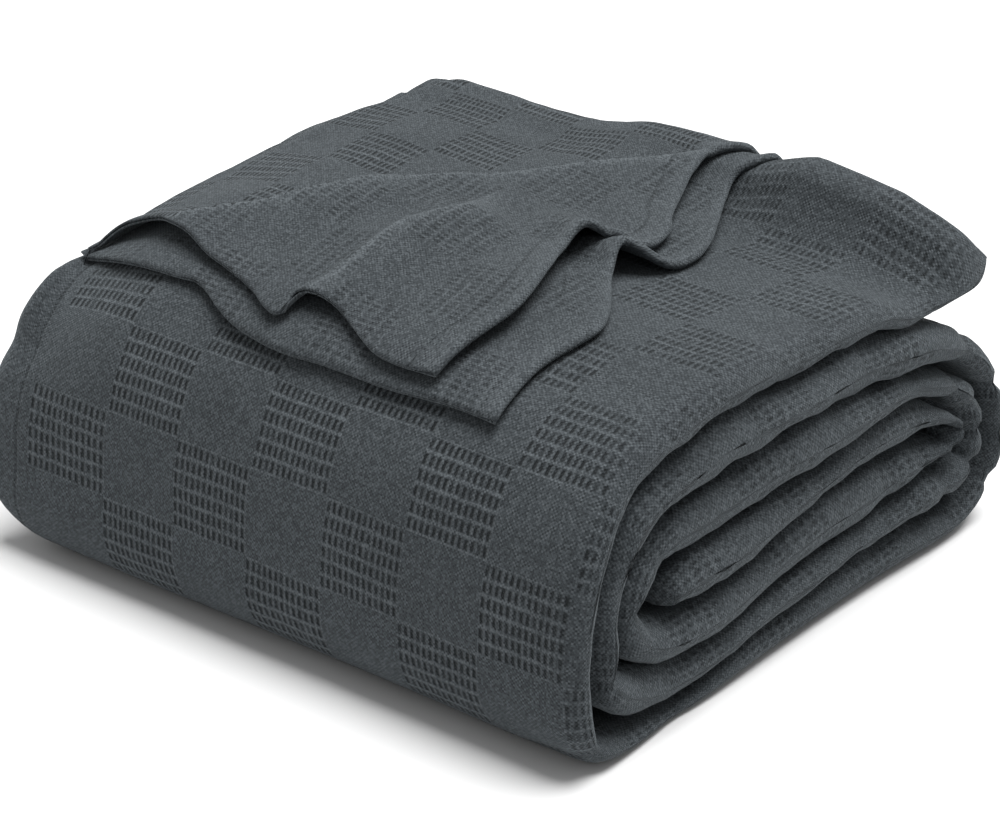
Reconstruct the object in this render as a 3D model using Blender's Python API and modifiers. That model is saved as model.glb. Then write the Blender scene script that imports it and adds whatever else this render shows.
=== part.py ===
# Cotton blanket with a waffle check, folded lengthwise into a wide strip and then rolled flat
# into a low bundle. The strip winds from the core outwards, comes up the front face, crosses
# the top and swells into a thick rounded crest at the rear. The two doubled layers of its
# last stretch come over that crest and lie on the top as flaps, their hems at the front left.
# X runs along the roll, -Y is the long front face, +Z is up, all in metres.

import math

import bmesh
import bpy
import numpy as np
from mathutils import Vector
from mathutils.bvhtree import BVHTree

COLLECTION = "folded_cotton_blanket"
MM = 0.001

# The roll
HALF_LENGTH = 0.2045        # from the middle to the tips of the rounded fold ends
END_ROUND = 0.014           # how far in from the tip a fold end starts to round off
END_ANGLES = (80, 58, 34, 0)  # steps of that rounding, in degrees, tip first
MIDDLE_STEPS = 6            # sections between the two rounded ends
MIDDLE_SHARE = 0.8          # share of the straight length that they span
SPLINE_STEPS = 6            # points tried on each stretch of the spine
TURN_STEP = math.radians(11)  # a new point where the spine has turned this much
RUN_STEP = 0.042            # and at least this often where it runs straight
FULL_STEP = 0.006           # and where the strip's thickness has changed this much
FLOOR_BAND = 0.0016         # the underside is pressed flat where it comes this near the floor

# The fold ends stand in and out from layer to layer
END_UNEVEN = 0.003
END_WAVES = (0.31, 0.83)    # a slow and a quick wave along the spine, radians a point
END_ONLY = 8                # power of the fade towards the middle of the roll

# The ends are drawn in at the floor and at the top: share of the half length
LEFT_END = 0.955
LEFT_FOOT_TUCK = 0.13
LEFT_TOP_TUCK = 0.045
RIGHT_FOOT_TUCK = 0.015
RIGHT_TOP_TUCK = 0.02
FOOT_TUCK_Z = (0.045, 0.0)
LEFT_CREST_TUCK = 0.07
LEFT_TOP_Z = (0.10, 0.16)
LEFT_CREST_Z = (0.15, 0.17)
RIGHT_TOP_Z = (0.13, 0.16)

# How the soft roll settles: depth, then the span over which each effect sets in
LEFT_SAG = 0.013            # how far the top sinks towards the left end
BROW_SAG = 0.007            # and how much further at the front
SAG_X = (-0.10, -0.19)
SAG_Z = (0.05, 0.14)
BROW_Y = (0.0, -0.08)
CREST_FREE_Y = (0.13, 0.07)
CREST_Y = (0.06, 0.13)      # the rear crest rises and falls behind here
CREST_Z = (0.138, 0.170)
FOOT_SPREAD = 0.007         # how far the foot of the front face spreads at the left
FOOT_X = (0.13, -0.17)
FOOT_Y = (-0.09, -0.16)
FOOT_Z = (0.07, 0.0)

# The flaps: doubled layers of cloth on top
FLAP_THICK = 0.0055
FLAP_ACROSS = 18            # divisions from the left edge to the right edge
FLAP_ALONG = 14             # divisions from the hem to the rear crest
EDGE_STEPS = 4              # points on each stretch of a flap's edge
FLAP_GAP = 0.001            # the flaps lie at least this far from what is under them
LIFT_STEP = 0.0005
DROP_FROM = Vector((0.0, 0.0, 0.05))  # looking down on the cloth beneath from this high
DOWN = Vector((0.0, 0.0, -1.0))
LIP_START = 0.130           # behind this they run into the crest
HEM_FADE = 0.2              # the ridges reach full height this share of the way in from the hem

# How the bundle stands: moves the middle of its box over the origin
STAND_X = -0.0047
STAND_Y = 0.0013

CLOTH_COLOUR = (0.047, 0.058, 0.065, 1.0)
CLOTH_ROUGHNESS = 0.95

# Spine of the wound strip at the middle of the roll, from the core outwards, in mm:
# stretch, y, z, thickness of the folded strip there
SPINE = (
    ("core", -113, 73, 15),
    ("core", -92, 74.5, 25),
    ("core", -58, 75, 27),
    ("core", -18, 79.5, 21),
    ("core", 20, 82.5, 18),
    ("core", 58, 86, 22),
    ("core", 88, 85, 21),
    ("core", 112, 81, 14),
    ("core turn", 126, 76.5, 8.5),
    ("core turn", 134, 73, 7.5),
    ("core turn", 137.5, 67.5, 7),
    ("core turn", 134, 62, 7.5),
    ("core turn", 126, 58.5, 9),
    ("second", 110, 58, 15.5),
    ("second", 90, 58, 24),
    ("second", 56, 56.5, 30),
    ("second", 12, 56, 28),
    ("second", -30, 51, 24),
    ("second", -60, 46.5, 25),
    ("second", -92, 46.5, 25),
    ("second", -118, 49, 22),
    ("second turn", -135, 58, 20),
    ("second turn", -139, 74, 19),
    ("second turn", -133, 90, 21),
    ("third", -115, 101, 23),
    ("third", -78, 102, 25),
    ("third", -42, 105, 28),
    ("third", -8, 106.5, 28),
    ("third", 26, 106.5, 24),
    ("third", 60, 107.5, 17),
    ("third", 84, 106, 14.5),
    ("third", 108, 101.5, 14),
    ("third", 132, 92.5, 15),
    ("third turn", 150, 79, 17),
    ("third turn", 158, 62, 18),
    ("third turn", 156.5, 47, 19),
    ("third turn", 145, 38, 21),
    ("fourth", 122, 36.5, 23),
    ("fourth", 98, 35.5, 18.5),
    ("fourth", 57, 33, 15.5),
    ("fourth", 12, 30.5, 15.5),
    ("fourth", -31, 29, 15.5),
    ("fourth", -73, 22.5, 17),
    ("fourth", -100, 21.5, 22.5),
    ("fourth", -132, 27, 25),
    ("fourth turn", -155.5, 42, 18.5),
    ("fourth turn", -159.5, 60, 16),
    ("fourth turn", -158.5, 76, 15.5),
    ("fourth turn", -155, 91, 15.5),
    ("fourth turn", -148, 107, 16),
    ("fourth turn", -137, 120.5, 18.5),
    ("fifth", -118, 128, 20.5),
    ("fifth", -100, 130, 23.5),
    ("fifth", -74, 134.5, 30),
    ("fifth", -40, 134, 26),
    ("fifth", -12, 133.5, 20.5),
    ("fifth", 20, 133, 25),
    ("fifth", 56, 131, 25.5),
    ("fifth", 83, 128, 26),
    ("fifth", 106, 124.5, 24),
    ("fifth", 132, 115, 21),
    ("fifth turn", 155, 102, 16.5),
    ("fifth turn", 169, 86, 15),
    ("fifth turn", 177.5, 66, 14.5),
    ("fifth turn", 180, 48, 14.5),
    ("fifth turn", 178, 31, 15),
    ("fifth turn", 169.5, 18, 15.5),
    ("base", 150, 9.5, 16),
    ("base", 122, 9.2, 18.4),
    ("base", 94, 10.9, 21.8),
    ("base", 57, 11, 22),
    ("base", 12, 10, 20),
    ("base", -31, 9.4, 18.8),
    ("base", -73, 6, 12),
    ("base", -96, 4, 8),
    ("base", -120, 4.7, 9.4),
    ("base", -148, 6, 11.5),
    ("front face", -166.5, 12.5, 16),
    ("front face", -176.5, 31, 18.5),
    ("front face", -178.5, 54, 17.5),
    ("front face", -177.5, 76, 17.5),
    ("front face", -173, 98, 17.5),
    ("front face", -163.5, 122, 18),
    ("front face", -151.5, 138, 18),
    ("top", -132, 150, 20.5),
    ("top", -104, 156.5, 20.5),
    ("top", -70, 161, 20.5),
    ("top", -35, 159, 20.5),
    ("top", 0, 156.5, 20),
    ("top", 35, 155.5, 18),
    ("top", 70, 152.5, 17),
    ("top", 96, 148.5, 16.5),
    ("crest", 113, 149.5, 19.5),
    ("crest", 127, 153.5, 28.5),
    ("crest", 138.5, 159, 37),
    ("crest", 148, 164.5, 38.5),
    ("crest", 155, 168.5, 32),
    ("crest", 159.5, 171, 20),
    ("crest", 161, 172, 7),
)

# Height of the rear crest along the roll, in mm: x, rise over the spine's own crest
CREST_RISE = (
    (-205, -16),
    (-188, -10),
    (-172, -4),
    (-160, -2),
    (-120, -3),
    (-60, -5),
    (-30, -5),
    (23, 1),
    (100, 8),
    (127, 5),
    (152, 2),
    (177, -6),
    (190, -11),
    (205, -18),
)

# Edges of the lower and upper flap, in mm: the hems from left to right, the side edges from
# front to rear. Columns: x, y, height of the layer's middle over the roll's top
LOWER_HEM = (
    (-169, -128, 5),
    (-155, -130, 5),
    (-137, -134, 5.5),
    (-111, -138, 5.5),
    (-94, -138, 5.5),
    (-81, -137, 5.5),
    (-71, -140, 5.5),
    (-58, -146, 6),
    (-43, -151, 6.5),
    (-23, -154, 6.5),
    (-4, -155, 6.5),
    (19, -154, 6.5),
    (64, -154, 6.5),
    (97, -152, 6.5),
    (126, -152, 6.5),
)
LOWER_RIGHT = (
    (126, -152, 6.5),
    (125, -141, 5),
    (124, -129, 4.5),
    (123, -114, 4.5),
    (124, -99, 4.5),
    (126, -86, 4.5),
    (126, -72, 4.5),
    (118, -54, 4.5),
    (108, -36, 5),
    (97, -18, 5),
    (93, -6, 5),
    (95, 4, 5),
    (101, 12, 5),
    (106, 20, 4.5),
    (106, 38, 4.5),
    (98, 60, 5),
    (85, 86, 6.5),
    (70, 116, 5),
    (56, 143, -9),
)
UPPER_HEM = (
    (-164, -132, 9),
    (-162, -122, 15),
    (-155, -113, 18),
    (-132, -113, 21),
    (-116, -118, 20),
    (-99, -122, 17),
    (-82, -127, 14),
    (-63, -131, 12.5),
    (-42, -137, 12),
    (-24, -145, 13),
    (-15, -145, 13.5),
    (-13, -136, 16),
    (-8, -134, 18),
    (0, -133, 18),
    (11, -133, 15),
    (19, -135, 13),
    (32, -141, 13),
    (50, -148, 14),
    (71, -149, 14),
    (86, -148, 14),
)
UPPER_RIGHT = (
    (86, -148, 14),
    (91, -133, 11),
    (95, -114, 11.5),
    (97, -97, 12),
    (88, -67, 12),
    (80, -46, 12),
    (76, -30, 12),
    (77, -16, 12),
    (82, -4, 12),
    (88, 10, 12),
    (88, 20, 12),
    (85, 32, 12),
    (80, 45, 12),
    (67, 76, 13),
    (53, 107, 13),
    (34, 143, -4),
)
LOWER_LEFT = (
    (-169, -128, 5),
    (-171, -90, 5),
    (-174, -45, 5),
    (-180, 0, 5),
    (-183, 60, 5),
    (-179, 105, 5),
    (-168, 143, -12),
)
UPPER_LEFT = (
    (-164, -132, 9),
    (-161, -100, 12),
    (-159, -75, 12),
    (-163, -45, 12),
    (-173, -5, 12),
    (-178, 32, 12),
    (-182, 70, 12),
    (-177, 105, 11),
    (-164, 143, -7),
)

# Soft ridges on the flaps, in mm: x and y where each starts, x and y where it ends, width,
# height at its start and at its end
UPPER_RIDGES = (
    (-116, -120, 20, 60, 26, 2, 5),
    (-4, -135, -14, 10, 17, 2, 3),
    (92, -14, 30, 8, 14, 18, 0),
)
LOWER_RIDGES = (
    (-90, -130, -60, 20, 24, 2, 0),
    (112, -3, 40, 8, 13, 18, 0),
)


def smooth_step(value):
    value = min(max(value, 0.0), 1.0)
    return value * value * (3.0 - 2.0 * value)


def ramp(value, span):
    """0 at the start of the span and 1 at its end, with soft ends."""
    return smooth_step((value - span[0]) / (span[1] - span[0]))


def table_value(table, x):
    """Straight interpolation in a table of (x, value) rows."""
    return float(np.interp(x, [row[0] for row in table], [row[1] for row in table]))


def between(a, b, knot_a, knot_b, knot):
    return ((knot_b - knot) * a + (knot - knot_a) * b) / (knot_b - knot_a)


def spline(rows, steps):
    """Centripetal Catmull-Rom curve through the rows, spaced by their first two columns."""
    rows = [np.array(row, dtype=float) for row in rows]
    rows = [2 * rows[0] - rows[1]] + rows + [2 * rows[-1] - rows[-2]]
    points = []
    for p0, p1, p2, p3 in zip(rows, rows[1:], rows[2:], rows[3:]):
        k0 = 0.0
        k1 = k0 + math.sqrt(np.linalg.norm((p1 - p0)[:2]))
        k2 = k1 + math.sqrt(np.linalg.norm((p2 - p1)[:2]))
        k3 = k2 + math.sqrt(np.linalg.norm((p3 - p2)[:2]))
        for step in range(steps):
            k = k1 + (k2 - k1) * step / steps
            a1 = between(p0, p1, k0, k1, k)
            a2 = between(p1, p2, k1, k2, k)
            a3 = between(p2, p3, k2, k3, k)
            b1 = between(a1, a2, k0, k2, k)
            b2 = between(a2, a3, k1, k3, k)
            points.append(between(b1, b2, k1, k2, k))
    points.append(rows[-2])
    return points


def headings(points):
    """Direction of the curve at each of its points, as an angle without jumps."""
    points = np.array(points)
    steps = np.gradient(points[:, 0]), np.gradient(points[:, 1])
    return np.unwrap(np.arctan2(steps[1], steps[0]))


def spine_points():
    """The spine as y, z, thickness and heading, in metres, closer together in its turns."""
    fine = spline([row[1:] for row in SPINE], SPLINE_STEPS)
    angles = headings(fine)
    kept = [0]
    for i in range(1, len(fine) - 1):
        run = np.linalg.norm((fine[i] - fine[kept[-1]])[:2]) * MM
        turned = abs(angles[i] - angles[kept[-1]])
        filled = abs(fine[i][2] - fine[kept[-1]][2]) * MM
        if turned > TURN_STEP or run > RUN_STEP or filled > FULL_STEP:
            kept.append(i)
    kept.append(len(fine) - 1)
    return [(*(fine[i] * MM), angles[i]) for i in kept]


def crest_rise(x):
    return table_value(CREST_RISE, x / MM) * MM


def stand(x, y, z):
    return Vector((x + STAND_X, y + STAND_Y, z))


def settle(x, y, z):
    """Move a point of the even roll to where the soft one has settled."""
    # The top sinks towards the left end, most of all at the front brow.
    sag = LEFT_SAG + BROW_SAG * ramp(y, BROW_Y)
    z -= sag * ramp(x, SAG_X) * ramp(z, SAG_Z) * ramp(y, CREST_FREE_Y)
    # The rear crest rises and falls along the roll.
    z += crest_rise(x) * ramp(y, CREST_Y) * ramp(z, CREST_Z)
    # The foot of the front face spreads towards the left end.
    y -= FOOT_SPREAD * ramp(x, FOOT_X) * ramp(y, FOOT_Y) * ramp(z, FOOT_Z)
    # The underside is pressed flat.
    if z < FLOOR_BAND:
        z = 0.0
    return stand(x, y, z)


def roll_sections():
    """Places along the roll, each with how full the folded strip is there."""
    ends = [math.radians(angle) for angle in END_ANGLES]
    straight = HALF_LENGTH - END_ROUND
    left = [(-straight - END_ROUND * math.sin(a), math.cos(a)) for a in ends]
    middle = [
        (straight * MIDDLE_SHARE * (2.0 * i / (MIDDLE_STEPS - 1) - 1.0), 1.0)
        for i in range(MIDDLE_STEPS)
    ]
    right = [(straight + END_ROUND * math.sin(a), math.cos(a)) for a in reversed(ends)]
    return left + middle + right


def tip_shift(spine_index, side):
    """How far the fold end stands out at this place along the spine."""
    slow, quick = END_WAVES
    wave = math.sin(slow * spine_index + side) + 0.5 * math.sin(quick * spine_index)
    return END_UNEVEN * abs(wave)


def end_tuck(x, z):
    """The left end is drawn in at the floor and at the top, the right end only a little."""
    foot = ramp(z, FOOT_TUCK_Z) ** 2
    if x < 0.0:
        top = LEFT_TOP_TUCK * ramp(z, LEFT_TOP_Z) + LEFT_CREST_TUCK * ramp(z, LEFT_CREST_Z)
        return LEFT_END - LEFT_FOOT_TUCK * foot - top
    return 1.0 - RIGHT_FOOT_TUCK * foot - RIGHT_TOP_TUCK * ramp(z, RIGHT_TOP_Z)


def wound_strip():
    """The whole roll as one closed skin around the folded strip."""
    spine = spine_points()
    skin = bmesh.new()
    rings = []
    for along, fullness in roll_sections():
        inner, outer = [], []
        for i, (y, z, thickness, angle) in enumerate(spine):
            side = math.copysign(1.0, along)
            near_end = (abs(along) / HALF_LENGTH) ** END_ONLY
            x = along + side * tip_shift(i, side) * near_end
            half = thickness / 2.0 * fullness
            normal_y, normal_z = -math.sin(angle), math.cos(angle)
            for face, row in ((1.0, outer), (-1.0, inner)):
                point_y = y + face * half * normal_y
                point_z = z + face * half * normal_z
                tucked = x * end_tuck(x, point_z)
                row.append(skin.verts.new(settle(tucked, point_y, point_z)))
        rings.append(outer + inner[::-1])
    count = len(rings[0])
    for ring, following in zip(rings, rings[1:]):
        for i in range(count):
            j = (i + 1) % count
            skin.faces.new((ring[i], following[i], following[j], ring[j]))
    half = count // 2
    for ring in (rings[0], rings[-1]):
        for i in range(half - 1):
            skin.faces.new((ring[i], ring[i + 1], ring[count - 2 - i], ring[count - 1 - i]))
    bmesh.ops.recalc_face_normals(skin, faces=skin.faces)
    return skin


def edge_curve(table):
    """A function of 0 to 1 along the table's points, in metres."""
    points = np.array(spline(table, EDGE_STEPS)) * MM
    lengths = np.linalg.norm(np.diff(points, axis=0), axis=1)
    run = np.concatenate(([0.0], np.cumsum(lengths)))
    run /= run[-1]

    def place(t):
        return np.array([np.interp(t, run, points[:, axis]) for axis in range(3)])

    return place


def ridge_height(ridges, x, y):
    height = 0.0
    for x0, y0, x1, y1, width, rise0, rise1 in ridges:
        start = np.array((x0, y0)) * MM
        line = np.array((x1, y1)) * MM - start
        t = float(np.clip(np.dot(np.array((x, y)) - start, line) / np.dot(line, line), 0.0, 1.0))
        off = np.linalg.norm(np.array((x, y)) - start - t * line) / (width * MM)
        height += (rise0 + (rise1 - rise0) * t) * MM * math.exp(-off * off)
    return height


def across(s, t, edges):
    """Blend four edge functions over a patch: s from left to right, t from hem to rear."""
    hem, rear, left, right = edges
    corners = (
        (1 - s) * (1 - t) * hem(0.0)
        + s * (1 - t) * hem(1.0)
        + (1 - s) * t * rear(0.0)
        + s * t * rear(1.0)
    )
    return (1 - t) * hem(s) + t * rear(s) + (1 - s) * left(t) + s * right(t) - corners


def top_profile():
    """Heights of the roll's top over y, from the outer side of the spine's last stretch."""
    outer = []
    for y, z, thickness, angle in spine_points():
        point = (y - thickness / 2.0 * math.sin(angle), z + thickness / 2.0 * math.cos(angle))
        outer.append(point)
    lowest = min(range(len(outer)), key=lambda i: outer[i][0])
    rows = []
    for point in outer[lowest:]:
        if rows and point[0] <= rows[-1][0]:
            break
        rows.append(point)
    return rows


def lift_clear(point, bed, gap):
    """Raise a point until it lies clear of the cloth beneath it."""
    if point.y > LIP_START:
        return point
    beneath = bed.ray_cast(point + DROP_FROM, DOWN)[0]
    if beneath:
        point.z = max(point.z, beneath.z + gap)
    while bed.find_nearest(point)[3] < gap:
        point.z += LIFT_STEP
    return point


def flap(hem_table, left_table, right_table, ridges, bed, gap):
    """A doubled layer of cloth, seen as its mid layer from its hem to the rear crest."""
    rear_middle = tuple((a + b) / 2.0 for a, b in zip(left_table[-1], right_table[-1]))
    rear_table = (left_table[-1], rear_middle, right_table[-1])
    edges = [edge_curve(table) for table in (hem_table, rear_table, left_table, right_table)]
    profile = top_profile()
    sheet = bmesh.new()
    grid = []
    for j in range(FLAP_ALONG + 1):
        t = j / FLAP_ALONG
        row = []
        for i in range(FLAP_ACROSS + 1):
            x, y, rise = across(i / FLAP_ACROSS, t, edges)
            rise += ridge_height(ridges, x, y) * smooth_step(t / HEM_FADE)
            point = settle(x, y, table_value(profile, y) + rise)
            row.append(sheet.verts.new(lift_clear(point, bed, gap)))
        grid.append(row)
    for j in range(FLAP_ALONG):
        for i in range(FLAP_ACROSS):
            sheet.faces.new((grid[j][i], grid[j][i + 1], grid[j + 1][i + 1], grid[j + 1][i]))
    return sheet


def add_object(name, mesh_data, collection, material):
    mesh = bpy.data.meshes.new(name)
    mesh_data.to_mesh(mesh)
    mesh_data.free()
    mesh.shade_smooth()
    piece = bpy.data.objects.new(name, mesh)
    piece.data.materials.append(material)
    collection.objects.link(piece)
    return piece


def cloth_material():
    material = bpy.data.materials.new("slate_cotton")
    material.use_nodes = True
    shader = material.node_tree.nodes["Principled BSDF"]
    shader.inputs["Base Color"].default_value = CLOTH_COLOUR
    shader.inputs["Roughness"].default_value = CLOTH_ROUGHNESS
    shader.inputs["Metallic"].default_value = 0.0
    return material


def join_flap(blanket, layer):
    """The flap is the strip's own cloth, so it is made one body with the roll."""
    thicken = layer.modifiers.new("thickness", "SOLIDIFY")
    thicken.thickness = FLAP_THICK
    thicken.offset = 0.0
    layer.hide_render = True
    layer.display_type = "WIRE"
    union = blanket.modifiers.new("join " + layer.name, "BOOLEAN")
    union.operation = "UNION"
    union.solver = "EXACT"
    union.object = layer


def new_collection(name):
    collection = bpy.data.collections.new(name)
    bpy.context.scene.collection.children.link(collection)
    return collection


for old in list(bpy.data.objects):
    bpy.data.objects.remove(old, do_unlink=True)

parts = new_collection(COLLECTION)
layers = new_collection("flap_layers")
cotton = cloth_material()

roll_skin = wound_strip()
roll_top = BVHTree.FromBMesh(roll_skin)
lower_sheet = flap(
    LOWER_HEM, LOWER_LEFT, LOWER_RIGHT, LOWER_RIDGES, roll_top, FLAP_THICK / 2.0 + FLAP_GAP
)
lower_top = BVHTree.FromBMesh(lower_sheet)
upper_sheet = flap(
    UPPER_HEM, UPPER_LEFT, UPPER_RIGHT, UPPER_RIDGES, lower_top, FLAP_THICK + FLAP_GAP
)
blanket = add_object("blanket", roll_skin, parts, cotton)
lower_flap = add_object("lower_flap", lower_sheet, layers, cotton)
upper_flap = add_object("upper_flap", upper_sheet, layers, cotton)
join_flap(blanket, lower_flap)
join_flap(blanket, upper_flap)
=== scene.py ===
# Waffle weave cotton blanket, folded lengthwise and rolled flat, its last stretch laid over
# the top in two doubled layers.
import math

import bpy
import numpy as np
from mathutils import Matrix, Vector, noise
from mathutils.bvhtree import BVHTree


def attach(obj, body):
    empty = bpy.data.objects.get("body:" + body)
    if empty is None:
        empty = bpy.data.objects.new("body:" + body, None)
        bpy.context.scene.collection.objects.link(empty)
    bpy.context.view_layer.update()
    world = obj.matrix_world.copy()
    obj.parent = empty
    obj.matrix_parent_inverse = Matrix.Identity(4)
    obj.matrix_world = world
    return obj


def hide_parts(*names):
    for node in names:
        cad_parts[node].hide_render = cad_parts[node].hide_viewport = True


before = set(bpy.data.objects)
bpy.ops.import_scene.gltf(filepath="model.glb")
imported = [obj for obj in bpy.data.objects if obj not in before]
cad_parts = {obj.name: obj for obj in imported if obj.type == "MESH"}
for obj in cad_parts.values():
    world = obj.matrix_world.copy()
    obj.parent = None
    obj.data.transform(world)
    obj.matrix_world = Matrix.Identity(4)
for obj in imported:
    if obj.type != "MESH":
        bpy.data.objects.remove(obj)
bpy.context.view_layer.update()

# ---------------------------------------------------------------------------------------
# The rolled blanket
# One piece of slate coloured cotton, woven with a check of 50 mm waffle squares in a plain
# ground. It is folded lengthwise to a strip of soft layers, which is wound from the core
# outwards, up the long front face and over the top to a thick crest at the rear.
# ---------------------------------------------------------------------------------------

MM = 0.001
HALF_LENGTH = 0.2045
END_ROUND = 0.014
STAND = (-0.0047, 0.0013)
SQUARE = 0.050              # width of a check square along the roll
SQUARE_ROUND = 0.0468       # and around it
FIRST_COLUMN = -0.153       # left edge of the first column of squares
SIDE_HEM = -0.1605          # the stitched hem down the left side of the front face
FIRST_LINE = (-0.187, 0.054)  # a line between two rows of squares, in y and z on the front
SQUEEZED_FROM = -0.103      # left of this the squares are narrower
SQUEEZED = 0.88
FAR_FROM_HEM = 90.0         # in mm, for cloth with no hem line near

# Spine of the strip: stretch, y, z and thickness in mm, from the core outwards
SPINE = (
    ("core", -113, 73, 15),
    ("core", -92, 74.5, 25),
    ("core", -58, 75, 27),
    ("core", -18, 79.5, 21),
    ("core", 20, 82.5, 18),
    ("core", 58, 86, 22),
    ("core", 88, 85, 21),
    ("core", 112, 81, 14),
    ("core turn", 126, 76.5, 8.5),
    ("core turn", 134, 73, 7.5),
    ("core turn", 137.5, 67.5, 7),
    ("core turn", 134, 62, 7.5),
    ("core turn", 126, 58.5, 9),
    ("second", 110, 58, 15.5),
    ("second", 90, 58, 24),
    ("second", 56, 56.5, 30),
    ("second", 12, 56, 28),
    ("second", -30, 51, 24),
    ("second", -60, 46.5, 25),
    ("second", -92, 46.5, 25),
    ("second", -118, 49, 22),
    ("second turn", -135, 58, 20),
    ("second turn", -139, 74, 19),
    ("second turn", -133, 90, 21),
    ("third", -115, 101, 23),
    ("third", -78, 102, 25),
    ("third", -42, 105, 28),
    ("third", -8, 106.5, 28),
    ("third", 26, 106.5, 24),
    ("third", 60, 107.5, 17),
    ("third", 84, 106, 14.5),
    ("third", 108, 101.5, 14),
    ("third", 132, 92.5, 15),
    ("third turn", 150, 79, 17),
    ("third turn", 158, 62, 18),
    ("third turn", 156.5, 47, 19),
    ("third turn", 145, 38, 21),
    ("fourth", 122, 36.5, 23),
    ("fourth", 98, 35.5, 18.5),
    ("fourth", 57, 33, 15.5),
    ("fourth", 12, 30.5, 15.5),
    ("fourth", -31, 29, 15.5),
    ("fourth", -73, 22.5, 17),
    ("fourth", -100, 21.5, 22.5),
    ("fourth", -132, 27, 25),
    ("fourth turn", -155.5, 42, 18.5),
    ("fourth turn", -159.5, 60, 16),
    ("fourth turn", -158.5, 76, 15.5),
    ("fourth turn", -155, 91, 15.5),
    ("fourth turn", -148, 107, 16),
    ("fourth turn", -137, 120.5, 18.5),
    ("fifth", -118, 128, 20.5),
    ("fifth", -100, 130, 23.5),
    ("fifth", -74, 134.5, 30),
    ("fifth", -40, 134, 26),
    ("fifth", -12, 133.5, 20.5),
    ("fifth", 20, 133, 25),
    ("fifth", 56, 131, 25.5),
    ("fifth", 83, 128, 26),
    ("fifth", 106, 124.5, 24),
    ("fifth", 132, 115, 21),
    ("fifth turn", 155, 102, 16.5),
    ("fifth turn", 169, 86, 15),
    ("fifth turn", 177.5, 66, 14.5),
    ("fifth turn", 180, 48, 14.5),
    ("fifth turn", 178, 31, 15),
    ("fifth turn", 169.5, 18, 15.5),
    ("base", 150, 9.5, 16),
    ("base", 122, 9.2, 18.4),
    ("base", 94, 10.9, 21.8),
    ("base", 57, 11, 22),
    ("base", 12, 10, 20),
    ("base", -31, 9.4, 18.8),
    ("base", -73, 6, 12),
    ("base", -96, 4, 8),
    ("base", -120, 4.7, 9.4),
    ("base", -148, 6, 11.5),
    ("front face", -166.5, 12.5, 16),
    ("front face", -176.5, 31, 18.5),
    ("front face", -178.5, 54, 17.5),
    ("front face", -177.5, 76, 17.5),
    ("front face", -173, 98, 17.5),
    ("front face", -163.5, 122, 18),
    ("front face", -151.5, 138, 18),
    ("top", -132, 150, 20.5),
    ("top", -104, 156.5, 20.5),
    ("top", -70, 161, 20.5),
    ("top", -35, 159, 20.5),
    ("top", 0, 156.5, 20),
    ("top", 35, 155.5, 18),
    ("top", 70, 152.5, 17),
    ("top", 94, 147.5, 16),
    ("crest", 112, 148.5, 17.5),
    ("crest", 127, 153, 26),
    ("crest", 138.5, 158, 35.5),
    ("crest", 147, 163.5, 39),
    ("crest", 155, 168.5, 32),
    ("crest", 159.5, 171, 20),
    ("crest", 161, 172, 7),
)
CREST_RISE = (
    (-205, -16), (-188, -10), (-172, -4), (-160, -2), (-120, -3), (-60, -5), (-30, -5),
    (23, 1), (100, 8), (127, 5), (152, 2), (177, -6), (190, -11), (205, -18),
)
CREST_X, CREST_UP = np.array(CREST_RISE).T * MM
SHOWN_FROM = 76             # from this row of the spine on, the cloth is the outermost turn
FRONT_TO = 90               # and up to this one it is the front face
CREST_ROWS = (91.5, 93.0)   # between these rows the weave grows fainter toward the crest
CREST_TOP = (0.138, 0.170)  # heights between which the crest's rise and fall takes hold
SAG = 0.013                 # at the left end, and more of it toward the front
SAG_AT_FRONT = 0.007
FLAPS_PRESS = 0.009         # how far the flaps press the crest down, and more at the left
FLAPS_PRESS_LEFT = 0.003
PRESSED_LESS = 0.005        # and less of it in the middle
FOOT_SPREAD = 0.007         # of the front's lower edge, toward the left
BROW_LIFT = 0.010           # of the front's upper left corner
ON_FLOOR = 0.0016           # cloth lower than this lies flat on the floor
SHOWN_WAVE = 0.0011         # heights of the soft waves, where the cloth shows and where not
SHOWN_RIPPLE = 0.0005
HIDDEN_WAVE = 0.0006
LOBE_WAVE = 0.0022
CREASE_DEPTH = 1.5          # of the end creases below, in parts of their tabled depth
END_ARC = 0.0185            # length of cloth round half a fold end
TURN_STEP = math.radians(8)
HIDDEN_STEP = 0.008         # between the rows of the mesh
SHOWN_STEP = 0.0028
THICKNESS_STEP = 0.003
END_ANGLES = (88, 76, 64, 52, 41, 31, 22, 14, 6)
MIDDLE_SECTIONS = 70


def smooth_step(value):
    """From 0 to 1 with soft ends."""
    value = min(max(value, 0.0), 1.0)
    return value * value * (3.0 - 2.0 * value)


def ramp(value, start, end):
    """0 up to the start, 1 from the end on."""
    return smooth_step((value - start) / (end - start))


def hump(value, middle, width):
    """1 at the middle, fading to both sides."""
    return math.exp(-(((value - middle) / width) ** 2))


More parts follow.
